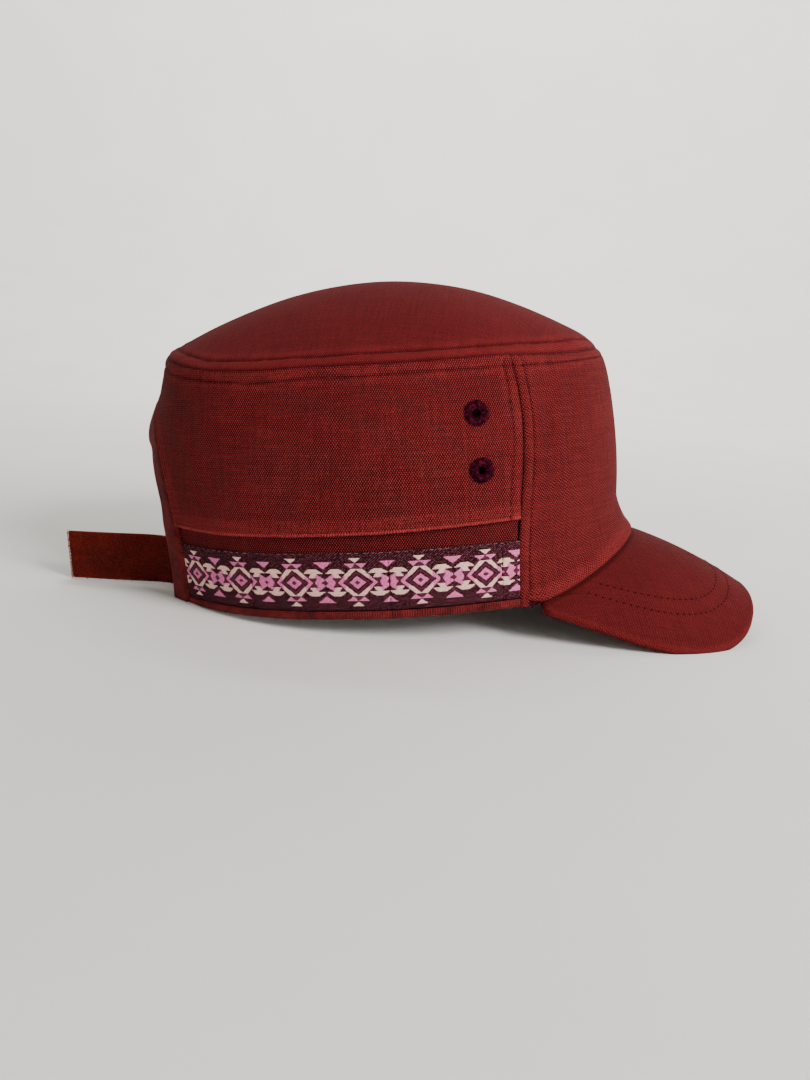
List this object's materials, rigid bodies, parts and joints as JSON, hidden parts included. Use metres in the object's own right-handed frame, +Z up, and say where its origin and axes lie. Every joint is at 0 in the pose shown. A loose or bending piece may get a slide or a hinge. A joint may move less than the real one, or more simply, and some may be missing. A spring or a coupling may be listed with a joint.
{
  "type": "cadet cap",
  "caption": "Soft cadet cap with a low domed top, upright sides, patterned ribbon band, worked eyelets, curved stiff peak and an arched back opening with a fastening strap.",
  "frame": {"origin": "on the surface the cap rests on, under the middle of its overall box", "axes": "+X points to the peak, +Y to the wearer's left, +Z up from the surface"},
  "size_m": [0.296, 0.1722, 0.1355],
  "materials": {
    "cloth": "brick red twill",
    "trim": "folded red cotton tape",
    "ribbon": "woven ribbon with a geometric pattern",
    "thread": "dark plum embroidery thread",
    "pile": "rust red loop pile tape"
  },
  "bodies": {
    "root": {"crown_top": "cloth", "front_panel": "cloth", "side_panel_right": "cloth", "side_panel_left": "cloth", "band_right": "cloth", "band_left": "cloth", "ribbon_right": "ribbon", "ribbon_left": "ribbon", "hem_right": "trim", "hem_left": "trim", "opening_binding": "trim", "eyelet_right_upper": "thread", "eyelet_right_lower": "thread", "eyelet_left_upper": "thread", "eyelet_left_lower": "thread", "peak": "cloth", "strap_right": "pile", "strap_left": "pile"}
  },
  "joints": []
}
